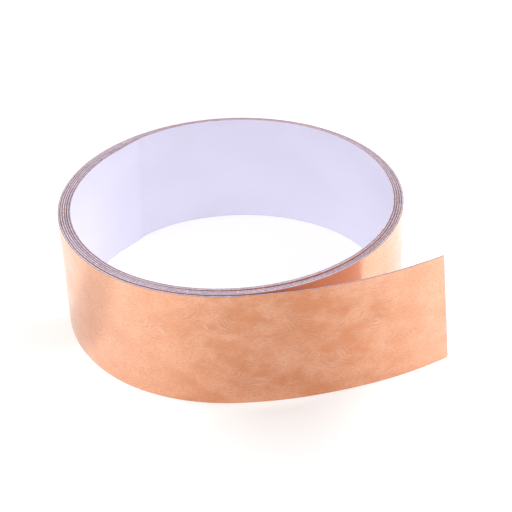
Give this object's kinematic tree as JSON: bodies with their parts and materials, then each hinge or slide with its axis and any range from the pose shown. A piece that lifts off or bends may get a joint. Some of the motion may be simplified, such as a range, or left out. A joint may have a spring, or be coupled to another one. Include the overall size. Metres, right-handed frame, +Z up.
{
  "type": "copper foil tape roll",
  "caption": "Coreless roll of self-adhesive copper foil strip on a white release liner, wound edge up, with its outer end standing off as a tail.",
  "frame": {"origin": "middle of the whole outline in plan, tail included, on the surface that the roll stands on; the roll's own axis passes through x = -0.00285 m, y = 0.00023 m", "axes": "+Z up, along the roll's axis; -Y towards the front, where the tail leaves the roll; +X the way the tail runs"},
  "size_m": [0.0618, 0.0564, 0.02],
  "materials": {
    "copper_foil": "satin",
    "adhesive": "satin",
    "release_liner": "matte"
  },
  "bodies": {
    "roll": {"roll_foil": "copper_foil", "roll_adhesive": "adhesive", "roll_liner": "release_liner"},
    "tail_1": {"tail_1_foil": "copper_foil", "tail_1_adhesive": "adhesive", "tail_1_liner": "release_liner"},
    "tail_2": {"tail_2_foil": "copper_foil", "tail_2_adhesive": "adhesive", "tail_2_liner": "release_liner"},
    "tail_3": {"tail_3_foil": "copper_foil", "tail_3_adhesive": "adhesive", "tail_3_liner": "release_liner"},
    "tail_4": {"tail_4_foil": "copper_foil", "tail_4_adhesive": "adhesive", "tail_4_liner": "release_liner"},
    "foil_tip_1": {"foil_tip_1_foil": "copper_foil", "foil_tip_1_adhesive": "adhesive"},
    "foil_tip_2": {"foil_tip_2_foil": "copper_foil", "foil_tip_2_adhesive": "adhesive"},
    "inner_end_1": {"inner_end_1_foil": "copper_foil", "inner_end_1_adhesive": "adhesive", "inner_end_1_liner": "release_liner"},
    "inner_end_2": {"inner_end_2_foil": "copper_foil", "inner_end_2_adhesive": "adhesive", "inner_end_2_liner": "release_liner"}
  },
  "joints": [
    {"name": "tail_lift", "type": "hinge", "parent": "roll", "child": "tail_1", "pos_m": [-0.00285, -0.02815, 0.01], "axis": [0, 0, 1], "range_deg": [-70, 0]},
    {"name": "tail_bend", "type": "hinge", "parent": "tail_1", "child": "tail_2", "pos_m": [0.00512, -0.02765, 0.01], "axis": [0, 0, 1], "range_deg": [-24, 9]},
    {"name": "tail_bend_middle", "type": "hinge", "parent": "tail_2", "child": "tail_3", "pos_m": [0.01296, -0.02616, 0.01], "axis": [0, 0, 1], "range_deg": [-24, 9]},
    {"name": "tail_bend_outer", "type": "hinge", "parent": "tail_3", "child": "tail_4", "pos_m": [0.02056, -0.02371, 0.01], "axis": [0, 0, 1], "range_deg": [-24, 9]},
    {"name": "foil_peel", "type": "hinge", "parent": "tail_4", "child": "foil_tip_1", "pos_m": [0.02352, -0.0225, 0.01], "axis": [0, 0, 1], "range_deg": [-110, 0]},
    {"name": "foil_curl", "type": "hinge", "parent": "foil_tip_1", "child": "foil_tip_2", "pos_m": [0.02711, -0.02074, 0.01], "axis": [0, 0, 1], "range_deg": [-44, 0]},
    {"name": "inner_end_lift", "type": "hinge", "parent": "roll", "child": "inner_end_1", "pos_m": [-0.02646, 0.01124, 0.01], "axis": [0, 0, 1], "range_deg": [-60, 0]},
    {"name": "inner_end_curl", "type": "hinge", "parent": "inner_end_1", "child": "inner_end_2", "pos_m": [-0.02283, 0.01699, 0.01], "axis": [0, 0, 1], "range_deg": [-36, 0]}
  ],
  "couplings": [
    {"joint": "tail_bend_middle", "follows": "tail_bend", "ratio": 1},
    {"joint": "tail_bend_outer", "follows": "tail_bend", "ratio": 1},
    {"joint": "foil_curl", "follows": "foil_peel", "ratio": 0.4},
    {"joint": "inner_end_curl", "follows": "inner_end_lift", "ratio": 0.6}
  ]
}
